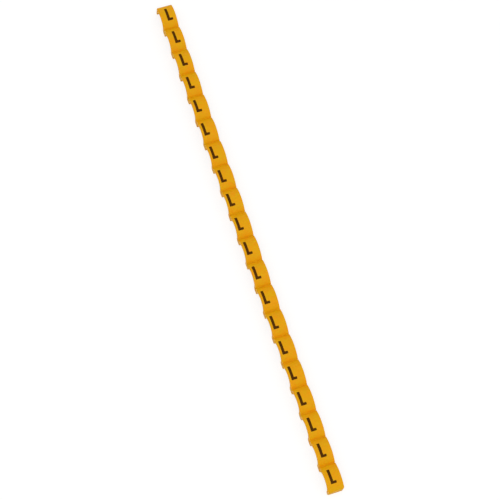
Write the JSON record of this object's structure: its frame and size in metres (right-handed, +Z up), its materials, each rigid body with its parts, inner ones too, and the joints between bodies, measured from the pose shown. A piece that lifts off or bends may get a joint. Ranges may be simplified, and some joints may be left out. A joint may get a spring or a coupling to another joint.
{
  "type": "cable marker strip",
  "caption": "Straight moulded strip of clip-on cable markers: arched printed faces over round wire seats open below, joined by thin webs that snap to free each marker.",
  "frame": {"origin": "under the middle of the strip, in the plane its feet stand on", "axes": "+X along the wires, the way the letters read; +Y along the strip, towards the tops of the letters; +Z up through the arched faces"},
  "size_m": [0.003, 0.1, 0.0029],
  "materials": {
    "yellow_plastic": "satin moulded soft plastic",
    "black_ink": "dull printed ink"
  },
  "bodies": {
    "root": {"marker_strip": "yellow_plastic"}
  },
  "joints": []
}
